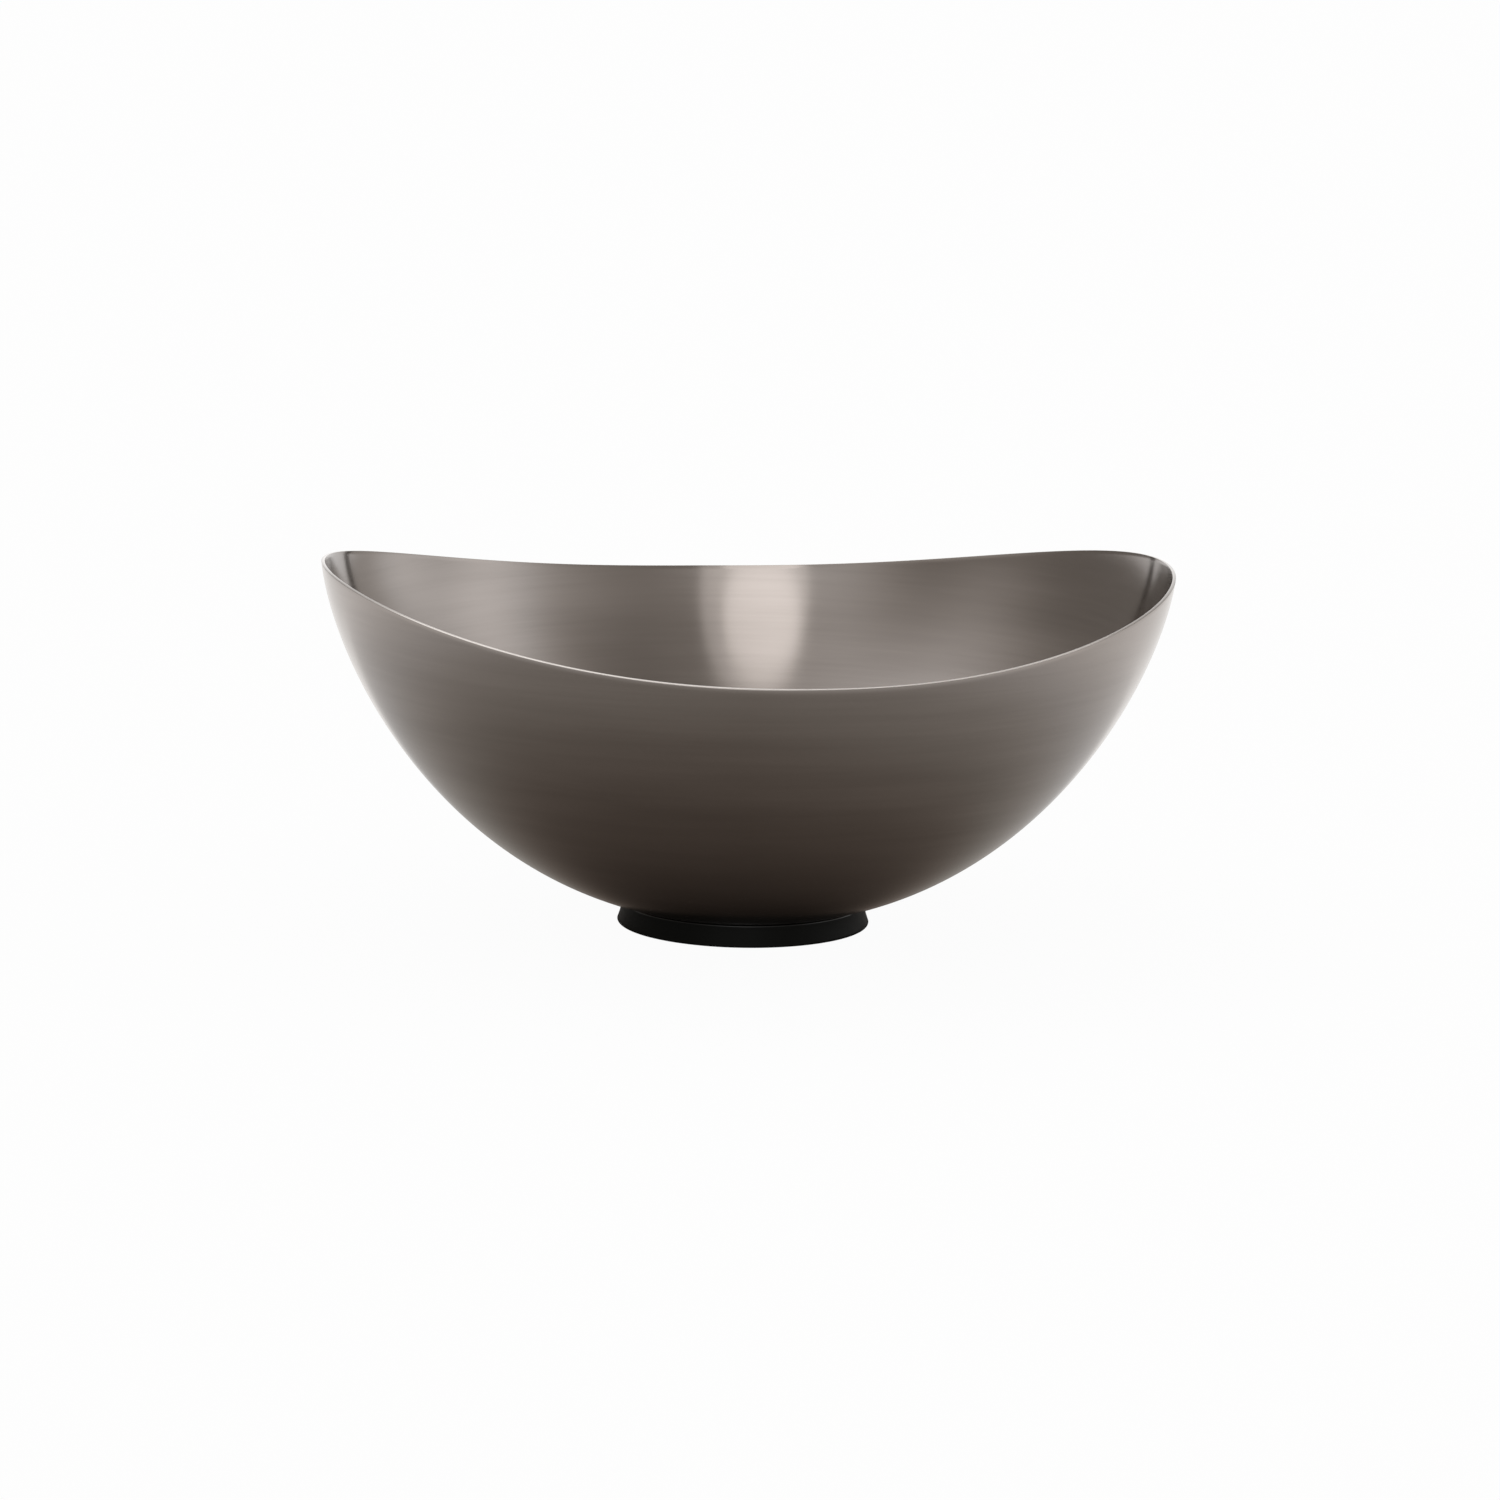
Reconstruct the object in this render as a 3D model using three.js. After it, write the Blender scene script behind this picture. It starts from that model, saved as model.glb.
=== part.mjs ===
// A sauce boat: a thin spun-steel bowl whose rim is trimmed to a saddle, so that it stands highest at
// its two ends, bonded to a low black foot ring that has a soft grip ring let into its underside.
// Millimetres, +Z up. The origin is on the table, under the middle of the foot, and the raised ends of
// the rim are on the X axis.
import * as THREE from 'three';

// ---- driving dimensions -------------------------------------------------------------------------
// The outer face of the bowl is a surface of revolution with a superellipse for its section:
// height = BOWL_LIFT + BOWL_DEPTH * (1 - (1 - (r / UPRIGHT_RADIUS) ^ FLOOR_POWER) ^ (1 / SIDE_POWER))
const UPRIGHT_RADIUS = 90.1;  // the radius at which the wall would stand upright
const BOWL_DEPTH = 77.5;      // how far above the lowest point that would happen
const FLOOR_POWER = 2.22;     // a larger power gives a flatter floor
const SIDE_POWER = 1.54;      // a smaller power gives straighter, more open sides
const SHEET = 0.7;            // thickness of the steel

// The top of the rim is at LOW_RIM + RIM_RISE * |cos azimuth| ^ RIM_POWER above the bowl's lowest point.
const LOW_RIM = 63.3;
const RIM_RISE = 12.9;
const RIM_POWER = 2.4;

const FOOT_TOP_RADIUS = 25.9;     // outside of the foot ring where it meets the bowl
const FOOT_BOTTOM_RADIUS = 26.9;  // outside of the foot ring at its base, which flares
const FOOT_BORE = 17;             // radius of the open middle of the foot ring
const FOOT_EDGE = 0.4;            // rounding of the foot ring's bottom edges
const LIP_EDGE = 0.25;            // rounding of its top outer lip
const SEAT_GAP = 0.2;             // between the foot ring's two lands and the bowl

const BOND_INNER = 18.6;          // radii of the adhesive's groove in the seat
const BOND_OUTER = 23.2;
const BOND_DEPTH = 0.9;           // depth of that groove under the bowl's face
const FIT = 0.15;                 // clearance round the adhesive and round the grip ring

const GRIP_INNER = 19.4;          // radii of the grip ring's groove in the base
const GRIP_OUTER = 24.2;
const GRIP_PROUD = 0.3;           // how far the grip ring stands below the foot ring
const GRIP_DEPTH = 1.0;           // depth of its groove
const GRIP_EDGE = 0.3;            // rounding of its bottom edges

const BOWL_LIFT = 1.55 + GRIP_PROUD;  // from the table to the bowl's lowest point

// ---- fineness of the meshes ---------------------------------------------------------------------
const AROUND = 72;      // steps round the axis
const WALL_STEPS = 16;  // steps from the middle of the floor to the rim
const RIM_STEPS = 4;    // steps over the rounded edge of the rim
const ARC_STEPS = 3;    // steps in any other rounding
const SEAT_STEPS = 3;   // steps across a face that follows the bowl

// Evenly spaced numbers from 0 to 1, both included.
const fractions = (steps) => Array.from({ length: steps + 1 }, (_, step) => step / steps);

// ---- the bowl's section -------------------------------------------------------------------------

// The point of the outer face at a parameter that runs from 0 on the axis to PI / 2 at the upright
// radius, with the outward normal there.
function outerFace(parameter) {
  const sine = Math.sin(parameter);
  const cosine = Math.cos(parameter);
  const point = new THREE.Vector2(
    UPRIGHT_RADIUS * sine ** (2 / FLOOR_POWER),
    BOWL_LIFT + BOWL_DEPTH * (1 - cosine ** (2 / SIDE_POWER)),
  );
  const along = new THREE.Vector2(
    (UPRIGHT_RADIUS * (2 / FLOOR_POWER) * cosine) / sine ** (1 - 2 / FLOOR_POWER),
    BOWL_DEPTH * (2 / SIDE_POWER) * sine * cosine ** (2 / SIDE_POWER - 1),
  ).normalize();
  const normal = parameter === 0 ? new THREE.Vector2(0, -1) : new THREE.Vector2(along.y, -along.x);
  return { point, normal };
}

// The parameter at which the outer face reaches a height.
const parameterAt = (height) =>
  Math.acos((1 - (height - BOWL_LIFT) / BOWL_DEPTH) ** (SIDE_POWER / 2));

// The height of the outer face at a radius.
const undersideAt = (radius) =>
  BOWL_LIFT + BOWL_DEPTH * (1 - (1 - (radius / UPRIGHT_RADIUS) ** FLOOR_POWER) ** (1 / SIDE_POWER));

// The bowl's closed section: out along the outer face, over the rounded rim, back along the inner face.
function bowlSection(rimHeight) {
  const top = parameterAt(rimHeight - SHEET / 2);
  const faces = fractions(WALL_STEPS).map((part) => outerFace(top * part));
  const outer = faces.map(({ point }) => point.clone());
  const inner = faces.map(({ point, normal }) => point.clone().addScaledVector(normal, -SHEET));

  const { point, normal } = faces[WALL_STEPS];
  const upwards = new THREE.Vector2(-normal.y, normal.x);
  const middle = point.clone().addScaledVector(normal, -SHEET / 2);
  const rim = fractions(RIM_STEPS)
    .slice(1, -1)
    .map((part) =>
      middle
        .clone()
        .addScaledVector(normal, (SHEET / 2) * Math.cos(Math.PI * part))
        .addScaledVector(upwards, (SHEET / 2) * Math.sin(Math.PI * part)),
    );
  return [...outer, ...rim, ...inner.reverse()];
}

// ---- turning sections into solids ---------------------------------------------------------------

// A lathe turns about Y, so it is laid over to turn about Z.
function turned(section) {
  return new THREE.LatheGeometry(section, AROUND).rotateX(Math.PI / 2);
}

// The bowl is a lathe whose section is stretched to the height of the rim at each azimuth.
function bowlGeometry() {
  const highest = BOWL_LIFT + LOW_RIM + RIM_RISE;
  const lathe = new THREE.LatheGeometry(bowlSection(highest), AROUND);
  const position = lathe.getAttribute('position');
  const perSection = position.count / (AROUND + 1);
  for (let step = 0; step <= AROUND; step++) {
    const azimuth = (2 * Math.PI * (step % AROUND)) / AROUND;
    const rise = RIM_RISE * Math.abs(Math.sin(azimuth)) ** RIM_POWER;
    bowlSection(BOWL_LIFT + LOW_RIM + rise).forEach(({ x: radius, y: height }, index) => {
      position.setXYZ(
        step * perSection + index,
        radius * Math.sin(azimuth),
        height,
        radius * Math.cos(azimuth),
      );
    });
  }
  return lathe.rotateX(Math.PI / 2);
}

// ---- sections of the foot's pieces --------------------------------------------------------------

// Points of a rounding about a centre, from one angle to another.
function rounding(x, y, radius, from, to) {
  return fractions(ARC_STEPS).map((part) => {
    const angle = THREE.MathUtils.lerp(from, to, part);
    return new THREE.Vector2(x + radius * Math.cos(angle), y + radius * Math.sin(angle));
  });
}

// Points that follow the bowl's underside at a gap below it, from one radius to another.
function underBowl(from, to, gap) {
  return fractions(SEAT_STEPS).map((part) => {
    const radius = THREE.MathUtils.lerp(from, to, part);
    return new THREE.Vector2(radius, undersideAt(radius) - gap);
  });
}

function footSection() {
  const base = GRIP_PROUD;
  const groove = base + GRIP_DEPTH;
  const lipRadius = FOOT_TOP_RADIUS - LIP_EDGE;
  const lipHeight = undersideAt(lipRadius) - SEAT_GAP - LIP_EDGE;
  return [
    ...rounding(FOOT_BORE + FOOT_EDGE, base + FOOT_EDGE, FOOT_EDGE, -Math.PI, -Math.PI / 2),
    new THREE.Vector2(GRIP_INNER, base),
    new THREE.Vector2(GRIP_INNER, groove),
    new THREE.Vector2(GRIP_OUTER, groove),
    new THREE.Vector2(GRIP_OUTER, base),
    ...rounding(FOOT_BOTTOM_RADIUS - FOOT_EDGE, base + FOOT_EDGE, FOOT_EDGE, -Math.PI / 2, 0),
    ...rounding(lipRadius, lipHeight, LIP_EDGE, 0, Math.PI / 2),
    ...underBowl(lipRadius, BOND_OUTER, SEAT_GAP).slice(1),
    ...underBowl(BOND_OUTER, BOND_INNER, BOND_DEPTH),
    ...underBowl(BOND_INNER, FOOT_BORE, SEAT_GAP),
  ];
}

function bondSection() {
  const inner = BOND_INNER + FIT;
  const outer = BOND_OUTER - FIT;
  return [...underBowl(inner, outer, BOND_DEPTH - FIT), ...underBowl(outer, inner, FIT)];
}

function gripSection() {
  const inner = GRIP_INNER + FIT;
  const outer = GRIP_OUTER - FIT;
  const top = GRIP_PROUD + GRIP_DEPTH - FIT;
  return [
    ...rounding(inner + GRIP_EDGE, GRIP_EDGE, GRIP_EDGE, -Math.PI, -Math.PI / 2),
    ...rounding(outer - GRIP_EDGE, GRIP_EDGE, GRIP_EDGE, -Math.PI / 2, 0),
    new THREE.Vector2(outer, top),
    new THREE.Vector2(inner, top),
  ];
}

// A ring's section comes back to its first point.
const closed = (section) => [...section, section[0].clone()];

// ---- materials ----------------------------------------------------------------------------------
const brushedSteel = new THREE.MeshStandardMaterial({ color: 0x948d86, roughness: 0.34, metalness: 1 });
const blackPlastic = new THREE.MeshStandardMaterial({ color: 0x15161a, roughness: 0.45, metalness: 0 });
const blackRubber = new THREE.MeshStandardMaterial({ color: 0x101010, roughness: 0.85, metalness: 0 });
const clearAdhesive = new THREE.MeshStandardMaterial({ color: 0xb9b7ae, roughness: 0.4, metalness: 0 });

// ---- the assembly -------------------------------------------------------------------------------
function piece(name, geometry, material) {
  const mesh = new THREE.Mesh(geometry, material);
  mesh.name = name;
  return mesh;
}

const sauceBoat = new THREE.Group();
sauceBoat.add(
  piece('bowl', bowlGeometry(), brushedSteel),
  piece('foot_ring', turned(closed(footSection())), blackPlastic),
  piece('adhesive_ring', turned(closed(bondSection())), clearAdhesive),
  piece('grip_ring', turned(closed(gripSection())), blackRubber),
);

export default sauceBoat;
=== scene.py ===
import math

import bpy
from mathutils import Matrix, Quaternion, Vector


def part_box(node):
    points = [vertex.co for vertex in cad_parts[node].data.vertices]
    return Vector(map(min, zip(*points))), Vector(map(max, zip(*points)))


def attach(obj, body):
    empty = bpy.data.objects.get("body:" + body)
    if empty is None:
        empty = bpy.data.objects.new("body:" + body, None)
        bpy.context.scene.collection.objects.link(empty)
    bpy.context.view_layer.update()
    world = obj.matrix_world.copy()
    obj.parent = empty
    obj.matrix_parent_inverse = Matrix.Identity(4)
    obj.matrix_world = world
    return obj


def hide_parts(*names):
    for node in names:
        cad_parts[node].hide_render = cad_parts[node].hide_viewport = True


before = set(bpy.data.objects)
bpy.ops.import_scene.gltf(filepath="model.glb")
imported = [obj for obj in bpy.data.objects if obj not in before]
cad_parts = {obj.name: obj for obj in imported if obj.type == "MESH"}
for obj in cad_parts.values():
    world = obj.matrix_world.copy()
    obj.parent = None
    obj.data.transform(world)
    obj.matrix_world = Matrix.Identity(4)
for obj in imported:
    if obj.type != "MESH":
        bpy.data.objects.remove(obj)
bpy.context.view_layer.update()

MM = 0.001

# ---- the bowl's rule ----------------------------------------------------------------------------
# The outer face is a surface of revolution with a superellipse for its section, and the rim's height
# is LOW_RIM + RIM_RISE * |cos azimuth| ^ RIM_POWER above the lowest point.
UPRIGHT_RADIUS = 90.1 * MM  # the radius at which the wall would stand upright
BOWL_DEPTH = 77.5 * MM  # how far above the lowest point that would happen
FLOOR_POWER = 2.22
SIDE_POWER = 1.54
SHEET = 0.7 * MM
LOW_RIM = 63.3 * MM
RIM_RISE = 12.9 * MM
RIM_POWER = 2.4
EDGE_CREST = 0.3  # how far the cut edge is crowned, in half thicknesses of the sheet
BOWL_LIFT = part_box("bowl")[0].z

AROUND = 264  # steps round the axis
WALL_ROWS = 92  # rows of faces on each side of the sheet
RIM_ROWS = 14  # rows over the edge of the rim
MERGE_WITHIN = 0.001 * MM  # points that meet at the seam and the poles

# ---- the foot -----------------------------------------------------------------------------------
FOOT_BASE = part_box("foot_ring")[0].z
FOOT_BOTTOM_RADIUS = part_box("foot_ring")[1].x
FOOT_TOP_RADIUS = 25.9 * MM
FOOT_BORE = 17 * MM
FOOT_EDGE = 0.45 * MM  # rounding of the bottom edges
LIP_EDGE = 0.35 * MM  # rounding of the top lips
SEAT_GAP = 0.03 * MM  # the line of adhesive between the lands and the bowl
WALL_HOLLOW = 0.12 * MM  # how far the outer wall is hollowed

BOND_INNER = 18.6 * MM
BOND_OUTER = 23.2 * MM
BOND_DEPTH = 0.9 * MM
FIT = 0.15 * MM

GRIP_INNER = 19.4 * MM
GRIP_OUTER = 24.2 * MM
GRIP_DEPTH = 1.0 * MM
GRIP_EDGE = 0.3 * MM

TURNED_STEPS = 192  # steps round a turned piece
ARC_STEPS = 8  # steps in any rounding
SEAT_STEPS = 10  # steps across a face that follows the bowl
SHARP_ANGLE = math.radians(35)

# ---- finishes -----------------------------------------------------------------------------------
COATING_COLOURS = ((0.277, 0.249, 0.231), (0.379, 0.343, 0.322))  # the darkest and the lightest
METAL_ROUGHNESS = 0.17
ROUGHNESS_VARIATION = 0.06
BRUSHING = 0.8  # how much the brushing draws out the shine
BRUSHING_TURN = 0.25  # a quarter turn: the brushing goes round the axis
BRUSHING_DEPTH = 0.02 * MM
BARE_COLOUR = (0.38, 0.35, 0.33)  # the cut edge of the rim
BARE_ROUGHENING = 0.13
BARE_FADE = (0.1, 0.6)  # the crowning at which the bare edge begins, and at which it is full

FOOT_COLOURS = ((0.0022, 0.0024, 0.0019), (0.0045, 0.0048, 0.0038))
ADHESIVE_COLOURS = ((0.42, 0.41, 0.37), (0.58, 0.57, 0.53))
GRIP_COLOURS = ((0.014, 0.014, 0.014), (0.026, 0.026, 0.026))
MOULDED_SHINE = 0.08
POLISH = 0.12  # the roughness of the foot's polished lip
POLISH_FADE = LIP_EDGE / 3

# ---- the camera and the lights ------------------------------------------------------------------
CAMERA_AZIMUTH = math.radians(-7.73)  # from -Y, towards +X
CAMERA_ELEVATION = math.radians(10.19)
CAMERA_DISTANCE = 0.983
CAMERA_ROLL = math.radians(1.01)
CAMERA_LENS = 110.85  # mm, on a 36 mm sensor
CAMERA_REACH = 200
AIM_ASIDE = 0.9 * MM  # the aim point, to the right of the axis
AIM_HEIGHT = 37.5 * MM

PALE_FLOOR = 0.955  # the brightness that the camera sees behind everything
FLOOR_GLOW = PALE_FLOOR + 0.009
FLOOR_COLOUR = (0.016, 0.016, 0.016)
FLOOR_RADIUS = 60
DAYLIGHT = 2.0  # the strength of the soft light from above
DAYLIGHT_SPREAD = math.radians(100)

LAMP_DISTANCE = 1.6
STUDIO_GLOW = 0.27  # the light that comes from all round

# Soft patches of light on the walls of the studio: azimuth round from the camera's side to its right
# and elevation, in degrees, then brightness and sharpness.
PATCHES = (
    (0, 0, 1.44, 8),
    (-30, 30, 0.32, 20),
    (-30, 58, 0.34, 14),
    (-80, 58, 0.46, 14),
    (-80, 30, 0.24, 20),
    (-130, 58, 1.73, 14),
    (29, 50, 0.08, 80),
    (55, 30, 0.24, 20),
    (75, 8, 0.89, 20),
    (95, 30, 0.96, 20),
    (118, 8, 0.87, 20),
    (144, 4, 0.16, 60),
    (180, 5, 0.85, 25),
)

# The bright backdrop behind the bowl reaches to 29 degrees on either side.
BACKDROP_GLOW = 0.5
BACKDROP_EDGE = (math.cos(math.radians(30)), math.cos(math.radians(28)))

# The sky's colour at each brightness.
SKY_TINTS = [(0.3, (1.0, 0.93, 0.86)), (1.0, (1.0, 1.0, 1.0))]

# Two dark upright strips stand at the backdrop's edges: name, azimuth in degrees and width.
FLAGS = (("flag_right", 152.5, 0.08), ("flag_left", -152, 0.075))
FLAG_DISTANCE = 1.2
FLAG_HEIGHT = 0.3
FLAG_GLOW = 0.06
FLAG_TINT = (1.0, 0.86, 0.75)

# The painted floor shade round the foot, seen only in the metal: a glowing sheet that stands in for the
# bowl's shadow on the floor, darkest in front and next to the foot and paler further out.
MAT_RADIUS = 0.6
MAT_HEIGHT = 0.1 * MM
MAT_MIDDLE = 0.03  # how far from the axis the mat begins to grow paler
MAT_FRONT_GLOW = 0.018
MAT_BACK_GLOW = 0.26
MAT_SIDE_GLOW = 0.065
MAT_MOST_GLOW = 1.0
MAT_FRONT_GROWTH = 2.8  # how much paler it grows with each metre
MAT_BACK_GROWTH = 5.6
MAT_RIGHT_GROWTH = 1.08
MAT_ROUND = (-0.64, 0.77)  # from the front to the back, as cosines of the angle from straight behind
MAT_BEHIND = (0.6, 0.95)
MAT_TINTS = [(0.0, (1.0, 0.76, 0.61)), (0.3, (1.0, 0.93, 0.85)), (0.6, (1.0, 0.98, 0.96))]

DISC_STEPS = 128


# ---- node trees ---------------------------------------------------------------------------------
class Nodes:
    """Adds nodes to one node tree."""

    def __init__(self, tree):
        self.tree = tree

    def add(self, kind, settings=None, inputs=(), output=0):
        """Adds a node, with its settings, then the values or links of its sockets."""
        node = self.tree.nodes.new(kind)
        for name, value in (settings or {}).items():
            if name == "stops":
                self.set_stops(node.color_ramp.elements, value)
            else:
                setattr(node, name, value)
        pairs = inputs.items() if isinstance(inputs, dict) else enumerate(inputs)
        for key, value in pairs:
            if isinstance(value, Socket):
                self.tree.links.new(value.socket, node.inputs[key])
            else:
                node.inputs[key].default_value = value
        return Socket(self, node.outputs[output]) if len(node.outputs) else node

    @staticmethod
    def set_stops(elements, stops):
        while len(elements) < len(stops):
            elements.new(1.0)
        for element, (position, colour) in zip(elements, stops):
            element.position = position
            element.color = (*colour, 1.0)

    def blend(self, factor, first, second):
        """A colour between two colours, each of which is three numbers or a socket."""
        first, second = (end if isinstance(end, Socket) else (*end, 1) for end in (first, second))
        inputs = {0: factor, 6: first, 7: second}
        return self.add("ShaderNodeMix", {"data_type": "RGBA"}, inputs, output=2)

    def ramp(self, value, stops):
        """A colour picked by a value."""
        return self.add("ShaderNodeValToRGB", {"stops": stops}, [value])

    def dot(self, first, second):
        return self.add("ShaderNodeVectorMath", {"operation": "DOT_PRODUCT"}, [first, second], output=1)

    def length(self, vector):
        return self.add("ShaderNodeVectorMath", {"operation": "LENGTH"}, [vector], output=1)

    def unit(self, vector):
        return self.add("ShaderNodeVectorMath", {"operation": "NORMALIZE"}, [vector])

    def ease(self, value, start, end, low=0.0, high=1.0):
        """A smooth step of a value from one level to another."""
        settings = {"interpolation_type": "SMOOTHSTEP"}
        return self.add("ShaderNodeMapRange", settings, [value, start, end, low, high])


class Socket:
    """A socket of a node, on which sums add Math nodes to its tree."""

    def __init__(self, nodes, socket):
        self.nodes = nodes
        self.socket = socket

    def __getitem__(self, name):
        return Socket(self.nodes, self.socket.node.outputs[name])

    def math(self, operation, *others):
        return self.nodes.add("ShaderNodeMath", {"operation": operation}, [self, *others])

    def after(self, operation, first):
        return self.nodes.add("ShaderNodeMath", {"operation": operation}, [first, self])

    def __add__(self, other):
        return self.math("ADD", other)

    def __radd__(self, other):
        return self.after("ADD", other)

    def __sub__(self, other):
        return self.math("SUBTRACT", other)

    def __rsub__(self, other):
        return self.after("SUBTRACT", other)

    def __mul__(self, other):
        return self.math("MULTIPLY", other)

    def __rmul__(self, other):
        return self.after("MULTIPLY", other)

    def __truediv__(self, other):
        return self.math("DIVIDE", other)

    def __rtruediv__(self, other):
        return self.after("DIVIDE", other)

    def __pow__(self, other):
        return self.math("POWER", other)

    def __abs__(self):
        return self.math("ABSOLUTE")


# ---- materials ----------------------------------------------------------------------------------
def new_material(name):
    """A material with one Principled shader, and its nodes."""
    material = bpy.data.materials.new(name)
    material.use_nodes = True
    nodes = Nodes(material.node_tree)
    return material, nodes, material.node_tree.nodes["Principled BSDF"]


def feed(nodes, shader, **links):
    """Links values to a shader's sockets, which are named with underscores for spaces."""
    for name, value in links.items():
        nodes.tree.links.new(value.socket, shader.inputs[name.replace("_", " ")])


def turning_streaks(nodes, lines_per_metre, around, detail, roughness=0.5):
    """Noise drawn out round the axis: streaks as a brush leaves them on a turning bowl."""
    place = nodes.add("ShaderNodeTexCoord")["Object"]
    split = nodes.add("ShaderNodeSeparateXYZ", inputs=[place])
    flat = nodes.add("ShaderNodeCombineXYZ", inputs=[split["X"], split["Y"]])
    turn = nodes.add("ShaderNodeSeparateXYZ", inputs=[nodes.unit(flat)])
    run = nodes.length(flat) + split["Z"]
    spot = nodes.add(
        "ShaderNodeCombineXYZ",
        inputs=[turn["X"] * around, turn["Y"] * around, run * lines_per_metre],
    )
    inputs = {"Vector": spot, "Scale": 1.0, "Detail": detail, "Roughness": roughness}
    return nodes.add("ShaderNodeTexNoise", inputs=inputs)


def bowl_metal():
    """Gunmetal-coated steel, brushed round the axis, with a bare edge where the rim was cut."""
    material, nodes, shader = new_material("brushed_gunmetal")
    shader.inputs["Metallic"].default_value = 1.0
    shader.inputs["Anisotropic"].default_value = BRUSHING
    shader.inputs["Anisotropic Rotation"].default_value = BRUSHING_TURN

    bands = turning_streaks(nodes, lines_per_metre=110, around=1.3, detail=2)
    streaks = turning_streaks(nodes, lines_per_metre=700, around=2.2, detail=3)
    lines = turning_streaks(nodes, lines_per_metre=3600, around=5, detail=2)
    shade = (bands - 0.5) * 0.8 + (streaks - 0.5) * 0.35 + (lines - 0.5) * 0.2
    edge = nodes.add("ShaderNodeAttribute", {"attribute_name": "cut_edge"})["Fac"]
    bare = nodes.ease(edge, *BARE_FADE)
    feed(
        nodes,
        shader,
        Base_Color=nodes.blend(bare, nodes.blend(shade + 0.5, *COATING_COLOURS), BARE_COLOUR),
        Roughness=METAL_ROUGHNESS + shade * ROUGHNESS_VARIATION + bare * BARE_ROUGHENING,
        Normal=nodes.add(
            "ShaderNodeBump",
            inputs={"Strength": 0.05, "Distance": BRUSHING_DEPTH, "Height": lines + streaks},
        ),
    )
    return material


def grained(name, colours, grain, roughness, depth, polish_from=None):
    """A moulded material with a fine grain of its own, and polished above a height where one is given."""
    material, nodes, shader = new_material(name)
    shader.inputs["Specular IOR Level"].default_value = MOULDED_SHINE
    shader.inputs["Coat Roughness"].default_value = POLISH
    place = nodes.add("ShaderNodeTexCoord")["Object"]
    if polish_from is not None:
        height = nodes.add("ShaderNodeSeparateXYZ", inputs=[place])["Z"]
        feed(nodes, shader, Coat_Weight=nodes.ease(height, polish_from, polish_from + POLISH_FADE))
    fine = nodes.add("ShaderNodeTexNoise", inputs={"Vector": place, "Scale": grain, "Detail": 4})
    broad = nodes.add("ShaderNodeTexNoise", inputs={"Vector": place, "Scale": grain / 25, "Detail": 2})
    feed(
        nodes,
        shader,
        Base_Color=nodes.blend(broad * 0.6 + fine * 0.4, *colours),
        Roughness=roughness + (broad - 0.5) * 0.12 + (fine - 0.5) * 0.1,
        Normal=nodes.add(
            "ShaderNodeBump", inputs={"Strength": 0.3, "Distance": depth, "Height": fine}
        ),
    )
    return material


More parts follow.
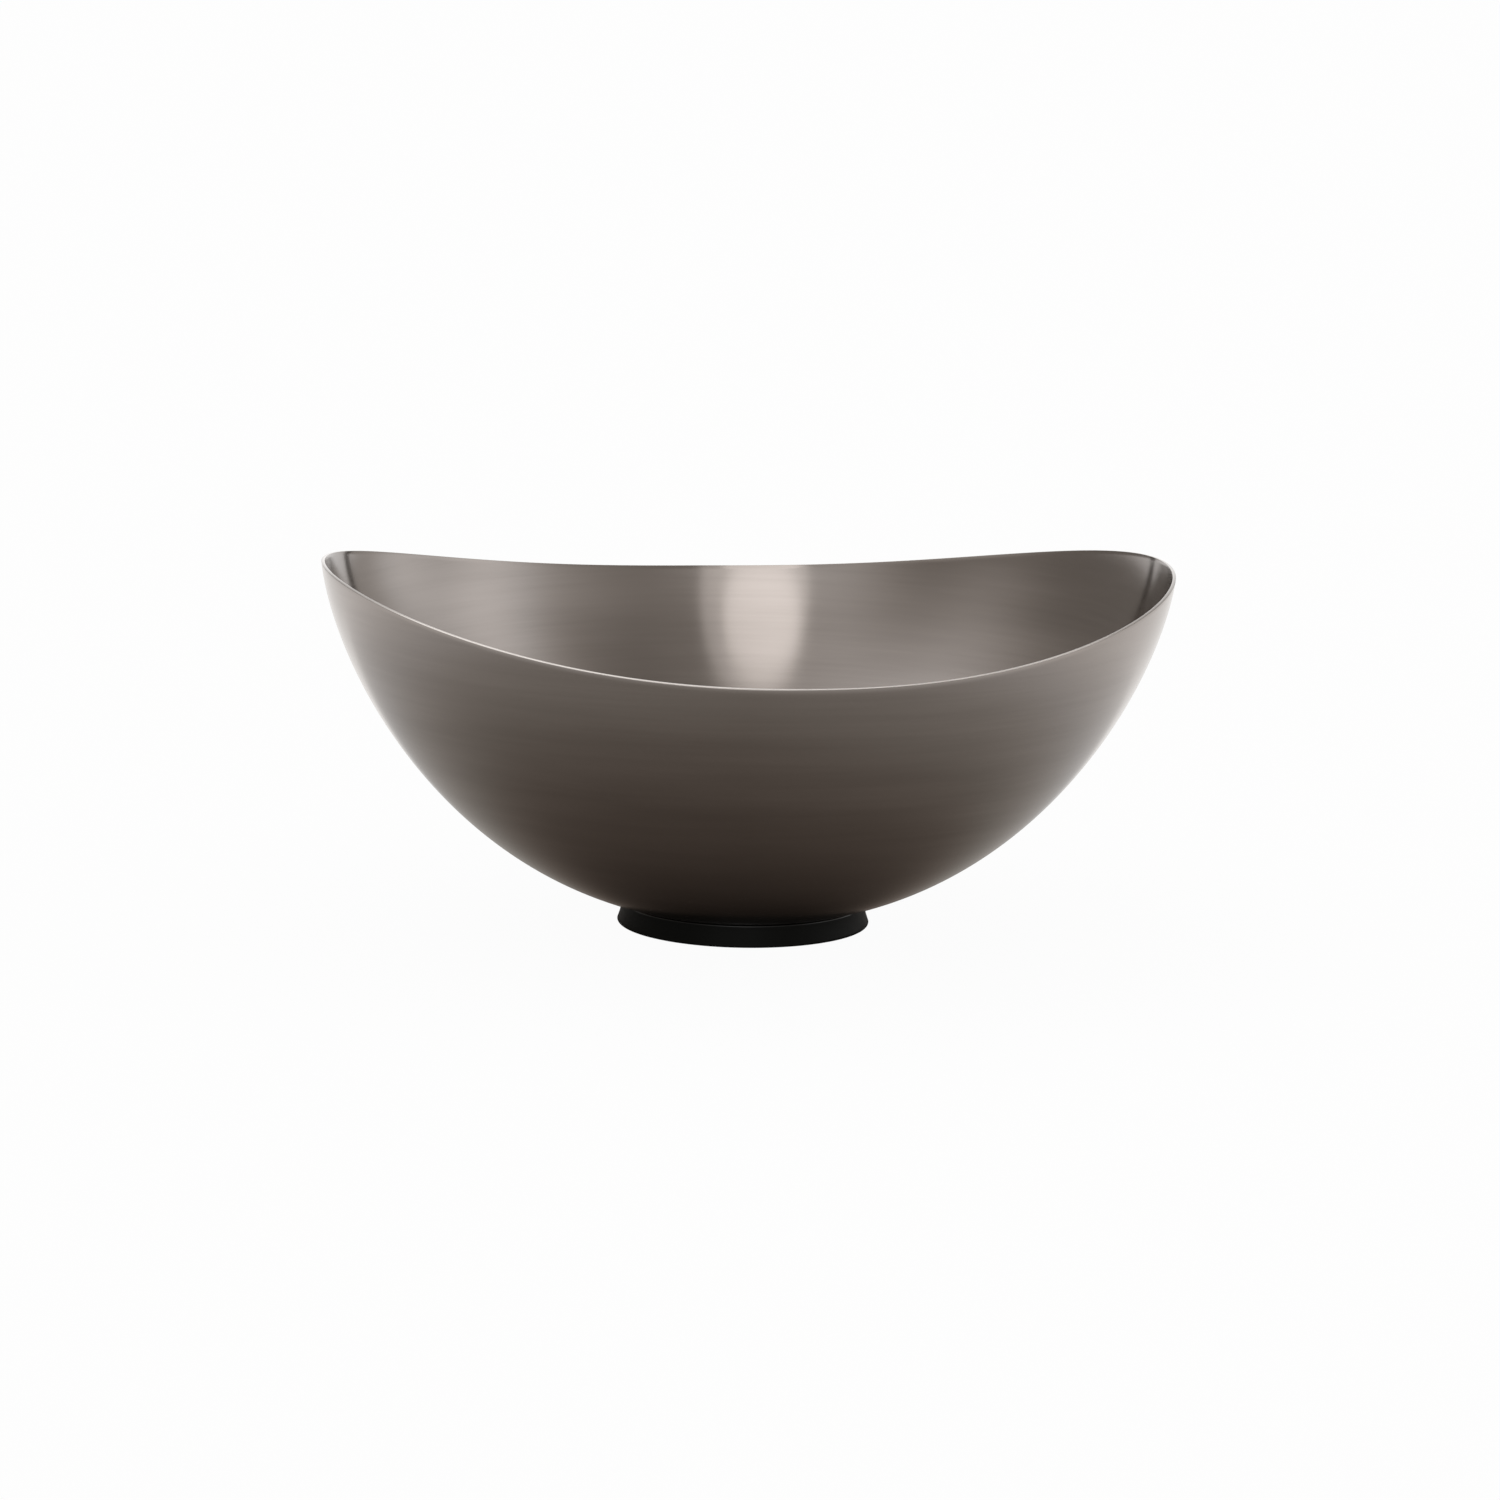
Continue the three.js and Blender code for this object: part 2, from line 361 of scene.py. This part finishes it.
# ---- the bowl -----------------------------------------------------------------------------------
def bowl_tree():
    """A Geometry Nodes tree that lays a grid over both faces of the sheet and its cut edge."""
    tree = bpy.data.node_groups.new("spun_bowl", "GeometryNodeTree")
    floats = {
        "Upright Radius": UPRIGHT_RADIUS,
        "Depth": BOWL_DEPTH,
        "Lift": BOWL_LIFT,
        "Floor Power": FLOOR_POWER,
        "Side Power": SIDE_POWER,
        "Sheet": SHEET,
        "Low Rim": LOW_RIM,
        "Rim Rise": RIM_RISE,
        "Rim Power": RIM_POWER,
        "Edge Crest": EDGE_CREST,
        "Rim Share": RIM_ROWS / (2 * WALL_ROWS + RIM_ROWS),
    }
    counts = {"Around": AROUND + 1, "Rows": 2 * WALL_ROWS + RIM_ROWS + 1}
    values = {}
    for group, kind in ((floats, "NodeSocketFloat"), (counts, "NodeSocketInt")):
        for name, value in group.items():
            item = tree.interface.new_socket(name, in_out="INPUT", socket_type=kind)
            values[item.identifier] = value
    finish = tree.interface.new_socket("Finish", in_out="INPUT", socket_type="NodeSocketMaterial")
    tree.interface.new_socket("Bowl", in_out="OUTPUT", socket_type="NodeSocketGeometry")

    nodes = Nodes(tree)
    size = nodes.add("NodeGroupInput")
    grid = nodes.add("GeometryNodeMeshGrid", inputs=[1.0, 1.0, size["Around"], size["Rows"]])
    split = nodes.add("ShaderNodeSeparateXYZ", inputs=[nodes.add("GeometryNodeInputPosition")])
    azimuth = split["X"] * (2 * math.pi)
    across = split["Y"] * 2  # from -1 at the middle of the inside to 1 at the middle of the underside

    # Over the rim the section turns through half a circle; elsewhere it keeps to one face.
    rim_share = size["Rim Share"]
    half_turn = (across / rim_share).math("MINIMUM", 1).math("MAXIMUM", -1) * (math.pi / 2)
    reach = (abs(across) - rim_share).math("MAXIMUM", 0) / (1 - rim_share)

    rim = size["Low Rim"] + size["Rim Rise"] * abs(azimuth.math("COSINE")) ** size["Rim Power"]
    top_share = (rim - size["Sheet"] / 2) / size["Depth"]
    top = ((1 - top_share) ** (size["Side Power"] / 2)).math("ARCCOSINE")
    step = top * (1 - reach)
    sine = step.math("SINE")
    cosine = step.math("COSINE")
    radius = size["Upright Radius"] * sine ** (2 / size["Floor Power"])
    height = size["Lift"] + size["Depth"] * (1 - cosine ** (2 / size["Side Power"]))

    # The way up the section, as an outward and an upward part.
    outward = size["Upright Radius"] / size["Floor Power"] * cosine
    upward = size["Depth"] / size["Side Power"]
    upward = upward * sine ** (2 - 2 / size["Floor Power"]) * cosine ** (2 / size["Side Power"] - 1)
    length = (outward * outward + upward * upward).math("SQRT")
    outward = outward / length
    upward = upward / length

    half = size["Sheet"] / 2
    inset = half * (1 - half_turn.math("SINE"))
    crest = half * size["Edge Crest"] * half_turn.math("COSINE")
    edge_radius = radius - upward * inset + outward * crest
    edge_height = height + outward * inset + upward * crest
    spot = nodes.add(
        "ShaderNodeCombineXYZ",
        inputs=[
            edge_radius * azimuth.math("COSINE"),
            edge_radius * azimuth.math("SINE"),
            edge_height,
        ],
    )

    settings = {"data_type": "FLOAT", "domain": "POINT"}
    marked = {"Geometry": grid, "Name": "cut_edge", "Value": half_turn.math("COSINE")}
    shell = nodes.add("GeometryNodeStoreNamedAttribute", settings, marked)
    shell = nodes.add("GeometryNodeSetPosition", inputs={"Geometry": shell, "Position": spot})
    shell = nodes.add("GeometryNodeMergeByDistance", inputs={"Geometry": shell, "Distance": MERGE_WITHIN})
    shell = nodes.add("GeometryNodeFlipFaces", inputs={"Mesh": shell})
    shell = nodes.add("GeometryNodeSetShadeSmooth", inputs={"Geometry": shell})
    shell = nodes.add("GeometryNodeRealizeInstances", inputs={"Geometry": shell})
    finished = {"Geometry": shell, "Material": size["Finish"]}
    nodes.add("NodeGroupOutput", inputs=[nodes.add("GeometryNodeSetMaterial", inputs=finished)])
    return tree, values, finish.identifier


def bowl(finish):
    """The bowl as a plain mesh, from its tree."""
    tree, values, finish_input = bowl_tree()
    blank = bpy.data.objects.new("bowl_rule", bpy.data.meshes.new("bowl_rule"))
    bpy.context.scene.collection.objects.link(blank)
    modifier = blank.modifiers.new("spun_bowl", "NODES")
    modifier.node_group = tree
    for identifier, value in values.items():
        modifier[identifier] = value
    modifier[finish_input] = finish
    evaluated = blank.evaluated_get(bpy.context.evaluated_depsgraph_get())
    mesh = bpy.data.meshes.new_from_object(evaluated)
    mesh.materials.pop(index=0)  # the blank's own empty slot
    blank.modifiers.remove(modifier)
    bpy.data.objects.remove(blank)
    return piece("bowl_shell", mesh)


# ---- turned pieces ------------------------------------------------------------------------------
def piece(name, mesh):
    """An object at the origin with a mesh."""
    mesh.name = name
    thing = bpy.data.objects.new(name, mesh)
    bpy.context.scene.collection.objects.link(thing)
    return thing


def turned(name, section, finish):
    """A ring whose closed section, of (radius, height) points, goes round with its solid on the left."""
    count = len(section)
    points = []
    faces = []
    for step in range(TURNED_STEPS):
        azimuth = 2 * math.pi * step / TURNED_STEPS
        following = (step + 1) % TURNED_STEPS * count
        for index, (radius, height) in enumerate(section):
            points.append((radius * math.cos(azimuth), radius * math.sin(azimuth), height))
            after = (index + 1) % count
            faces.append((step * count + index, following + index, following + after, step * count + after))
    mesh = bpy.data.meshes.new(name)
    mesh.from_pydata(points, [], faces)
    mesh.materials.append(finish)
    mesh.shade_smooth()
    mesh.set_sharp_from_angle(angle=SHARP_ANGLE)
    return piece(name, mesh)


def rounding(x, y, radius, start, end):
    """Points of a rounding about a centre, from one angle to another, in quarter turns."""
    angles = [math.pi / 2 * (start + (end - start) * step / ARC_STEPS) for step in range(ARC_STEPS + 1)]
    return [(x + radius * math.cos(angle), y + radius * math.sin(angle)) for angle in angles]


def underside_at(radius):
    """The height of the bowl's outer face at a radius."""
    share = 1 - (radius / UPRIGHT_RADIUS) ** FLOOR_POWER
    return BOWL_LIFT + BOWL_DEPTH * (1 - share ** (1 / SIDE_POWER))


def under_bowl(start, end, gap):
    """Points that follow the bowl's underside at a gap below it."""
    radii = [start + (end - start) * step / SEAT_STEPS for step in range(SEAT_STEPS + 1)]
    return [(radius, underside_at(radius) - gap) for radius in radii]


# Where the rounding of the foot's top lip begins.
LIP_RADIUS = FOOT_TOP_RADIUS - LIP_EDGE
LIP_HEIGHT = underside_at(LIP_RADIUS) - SEAT_GAP - LIP_EDGE


def foot_section():
    """The foot ring's section, with its two grooves and its hollowed outer wall."""
    base = FOOT_BASE
    groove = base + GRIP_DEPTH
    low = base + FOOT_EDGE
    wall = []
    for step in range(1, SEAT_STEPS):
        share = step / SEAT_STEPS
        hollow = WALL_HOLLOW * math.sin(math.pi * share)
        radius = FOOT_BOTTOM_RADIUS + (FOOT_TOP_RADIUS - FOOT_BOTTOM_RADIUS) * share - hollow
        wall.append((radius, low + (LIP_HEIGHT - low) * share))
    return [
        *rounding(FOOT_BORE + FOOT_EDGE, low, FOOT_EDGE, -2, -1),
        (GRIP_INNER, base),
        (GRIP_INNER, groove),
        (GRIP_OUTER, groove),
        (GRIP_OUTER, base),
        *rounding(FOOT_BOTTOM_RADIUS - FOOT_EDGE, low, FOOT_EDGE, -1, 0),
        *wall,
        *rounding(LIP_RADIUS, LIP_HEIGHT, LIP_EDGE, 0, 1),
        *under_bowl(LIP_RADIUS, BOND_OUTER, SEAT_GAP)[1:],
        *under_bowl(BOND_OUTER, BOND_INNER, BOND_DEPTH),
        *under_bowl(BOND_INNER, FOOT_BORE, SEAT_GAP),
    ]


def adhesive_section():
    """The adhesive's section, which follows the bowl above and below."""
    inner = BOND_INNER + FIT
    outer = BOND_OUTER - FIT
    return [*under_bowl(inner, outer, BOND_DEPTH - FIT), *under_bowl(outer, inner, FIT)]


def grip_section():
    """The grip ring's section, with its bottom edges rounded."""
    inner = GRIP_INNER + FIT
    outer = GRIP_OUTER - FIT
    top = FOOT_BASE + GRIP_DEPTH - FIT
    return [
        *rounding(inner + GRIP_EDGE, GRIP_EDGE, GRIP_EDGE, -2, -1),
        *rounding(outer - GRIP_EDGE, GRIP_EDGE, GRIP_EDGE, -1, 0),
        (outer, top),
        (inner, top),
    ]


# ---- the stage ----------------------------------------------------------------------------------
def towards(azimuth, elevation):
    """The direction at an azimuth round from the camera's side, to its right, and an elevation."""
    turn = CAMERA_AZIMUTH + azimuth
    level = math.cos(elevation)
    return Vector((math.sin(turn) * level, -math.cos(turn) * level, math.sin(elevation)))


def add_camera():
    """A camera that looks a little down at the bowl, turned and tipped a little."""
    back = towards(0, CAMERA_ELEVATION)
    right = Vector((0, 0, 1)).cross(back).normalized()
    aim = Vector((0, 0, AIM_HEIGHT)) + AIM_ASIDE * right
    up = back.cross(right)
    tipped_right = right * math.cos(CAMERA_ROLL) + up * math.sin(CAMERA_ROLL)
    turn = Matrix((tipped_right, back.cross(tipped_right), back)).transposed()
    data = bpy.data.cameras.new("camera")
    data.lens = CAMERA_LENS
    data.clip_end = CAMERA_REACH
    camera = bpy.data.objects.new("camera", data)
    bpy.context.scene.collection.objects.link(camera)
    camera.matrix_world = Matrix.Translation(aim + CAMERA_DISTANCE * back) @ turn.to_4x4()
    bpy.context.scene.camera = camera


def softbox(name, azimuth, elevation, width, height, brightness, lean):
    """An oval lamp at an azimuth round from the camera's side and an elevation, in degrees, which
    shows in the metal and leaves the floor alone. Its width, its height and how far its top leans to
    the camera's left are angles too."""
    data = bpy.data.lights.new(name, "AREA")
    data.shape = "ELLIPSE"
    data.size = 2 * LAMP_DISTANCE * math.tan(math.radians(width / 2))
    data.size_y = 2 * LAMP_DISTANCE * math.tan(math.radians(height / 2))
    data.energy = math.pi * brightness * data.size * data.size_y
    light = bpy.data.objects.new(name, data)
    bpy.context.scene.collection.objects.link(light)
    way = towards(math.radians(azimuth), math.radians(elevation))
    light.location = LAMP_DISTANCE * way
    leaning = Quaternion((0, 0, 1), math.radians(lean))
    light.rotation_euler = (way.to_track_quat("Z", "Y") @ leaning).to_euler()
    light.visible_diffuse = False


def sky():
    """Even light all round, with soft patches, and a bright backdrop behind the bowl."""
    world = bpy.data.worlds.new("studio")
    bpy.context.scene.world = world
    world.use_nodes = True
    world.node_tree.nodes.clear()
    nodes = Nodes(world.node_tree)
    way = nodes.add("ShaderNodeTexCoord")["Generated"]
    glow = STUDIO_GLOW
    for azimuth, elevation, brightness, sharpness in PATCHES:
        facing = nodes.dot(way, towards(math.radians(azimuth), math.radians(elevation)))
        glow = glow + brightness * facing.math("MAXIMUM", 0) ** sharpness
    split = nodes.add("ShaderNodeSeparateXYZ", inputs=[way])
    level = nodes.unit(nodes.add("ShaderNodeCombineXYZ", inputs=[split["X"], split["Y"]]))
    behind = nodes.dot(level, towards(math.pi, 0))
    glow = glow + nodes.ease(behind, *BACKDROP_EDGE) * BACKDROP_GLOW
    seen = nodes.add("ShaderNodeLightPath")["Is Camera Ray"]
    strength = seen * PALE_FLOOR + (1 - seen) * glow
    surround = nodes.add("ShaderNodeBackground", inputs=[nodes.ramp(strength, SKY_TINTS), strength])
    nodes.add("ShaderNodeOutputWorld", inputs=[surround])


def stage_material(name):
    """A material with an empty tree, and its nodes, whose glow the renderer doesn't take for a lamp."""
    material = bpy.data.materials.new(name)
    material.use_nodes = True
    material.node_tree.nodes.clear()
    material.cycles.emission_sampling = "NONE"
    return material, Nodes(material.node_tree)


def add_to_stage(name, points, face, material, only_mirrored):
    """A flat sheet of the stage, which may show in the metal and nowhere else."""
    mesh = bpy.data.meshes.new(name)
    mesh.from_pydata(points, [], [face])
    mesh.materials.append(material)
    sheet = piece(name, mesh)
    if only_mirrored:
        sheet.visible_camera = False
        sheet.visible_diffuse = False
        sheet.visible_shadow = False


def add_disc(name, radius, height, material, only_mirrored):
    """A flat round sheet of the stage."""
    turns = [2 * math.pi * step / DISC_STEPS for step in range(DISC_STEPS)]
    points = [(radius * math.cos(turn), radius * math.sin(turn), height) for turn in turns]
    add_to_stage(name, points, tuple(range(DISC_STEPS)), material, only_mirrored)


def add_floor():
    """A pale floor that glows a little, so that shadows on it stay soft and light."""
    material, nodes = stage_material("pale_floor")
    matt = nodes.add("ShaderNodeBsdfDiffuse", inputs=[(*FLOOR_COLOUR, 1)])
    glow = nodes.add("ShaderNodeEmission", inputs=[(1, 1, 1, 1), FLOOR_GLOW])
    both = nodes.add("ShaderNodeAddShader", inputs=[matt, glow])
    nodes.add("ShaderNodeOutputMaterial", inputs=[both])
    add_disc("floor", FLOOR_RADIUS, 0, material, only_mirrored=False)


def add_painted_floor_shade():
    """Painted floor shade: a sheet round the foot that glows dark next to it and in front, paler towards
    its edge and behind, and only shows as a reflection in the metal.
    """
    material, nodes = stage_material("painted_floor_shade")
    place = nodes.add("ShaderNodeTexCoord")["Object"]
    facing = nodes.unit(place)
    back = nodes.dot(facing, towards(math.pi, 0))
    right = nodes.dot(facing, towards(math.pi / 2, 0))
    growth = nodes.ease(back, *MAT_BEHIND, low=MAT_FRONT_GROWTH, high=MAT_BACK_GROWTH)
    growth = growth + right.math("MAXIMUM", 0) * MAT_RIGHT_GROWTH
    # The painted shade: the glow is least in front and next to the foot, and grows paler outwards and
    # behind.
    strength = nodes.ease(back, *MAT_ROUND, low=MAT_FRONT_GLOW, high=MAT_BACK_GLOW)
    strength = strength + right ** 4 * MAT_SIDE_GLOW
    strength = strength + (nodes.length(place) - MAT_MIDDLE).math("MAXIMUM", 0) * growth
    strength = strength.math("MINIMUM", MAT_MOST_GLOW)
    glow = nodes.add("ShaderNodeEmission", inputs=[nodes.ramp(strength, MAT_TINTS), strength])
    nodes.add("ShaderNodeOutputMaterial", inputs=[glow])
    add_disc("painted_floor_shade", MAT_RADIUS, MAT_HEIGHT, material, only_mirrored=True)


def add_flags():
    """Dark upright strips that stand on the floor and only show as lines in the metal."""
    material, nodes = stage_material("dark_flag")
    glow = nodes.add("ShaderNodeEmission", inputs=[(*FLAG_TINT, 1), FLAG_GLOW])
    nodes.add("ShaderNodeOutputMaterial", inputs=[glow])
    up = Vector((0, 0, FLAG_HEIGHT))
    for name, azimuth, width in FLAGS:
        foot_of_flag = towards(math.radians(azimuth), 0) * FLAG_DISTANCE
        aside = towards(math.radians(azimuth + 90), 0) * width / 2
        ends = [foot_of_flag - aside, foot_of_flag + aside]
        points = [*ends, ends[1] + up, ends[0] + up]
        add_to_stage(name, points, (0, 1, 2, 3), material, only_mirrored=True)


def add_daylight():
    """Soft light from above for the floor and the foot."""
    data = bpy.data.lights.new("daylight", "SUN")
    data.angle = DAYLIGHT_SPREAD
    data.energy = DAYLIGHT
    light = bpy.data.objects.new("daylight", data)
    bpy.context.scene.collection.objects.link(light)
    light.visible_glossy = False


# ---- putting it together ------------------------------------------------------------------------
add_camera()

shell = bowl(bowl_metal())
foot = turned(
    "foot",
    foot_section(),
    grained("foot_black", FOOT_COLOURS, grain=5200, roughness=0.5, depth=0.02 * MM, polish_from=LIP_HEIGHT),
)
bond = turned(
    "adhesive",
    adhesive_section(),
    grained("adhesive", ADHESIVE_COLOURS, grain=900, roughness=0.4, depth=0.02 * MM),
)
grip = turned(
    "grip",
    grip_section(),
    grained("grip_rubber", GRIP_COLOURS, grain=7000, roughness=0.8, depth=0.03 * MM),
)
for thing, node, slot in (
    (shell, "bowl", "bowl_metal"),
    (foot, "foot_ring", "foot_black"),
    (bond, "adhesive_ring", "adhesive"),
    (grip, "grip_ring", "grip_rubber"),
):
    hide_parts(node)
    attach(thing, "root")

softbox("key", azimuth=-2, elevation=39, width=29, height=62, brightness=0.46, lean=2)
softbox("key_core", azimuth=-5, elevation=46, width=20, height=36, brightness=0.66, lean=5)
softbox("overhead", azimuth=180, elevation=60, width=50, height=30, brightness=1.2, lean=0)
sky()
add_floor()
add_painted_floor_shade()
add_flags()
add_daylight()
bpy.context.scene.view_settings.view_transform = "Standard"
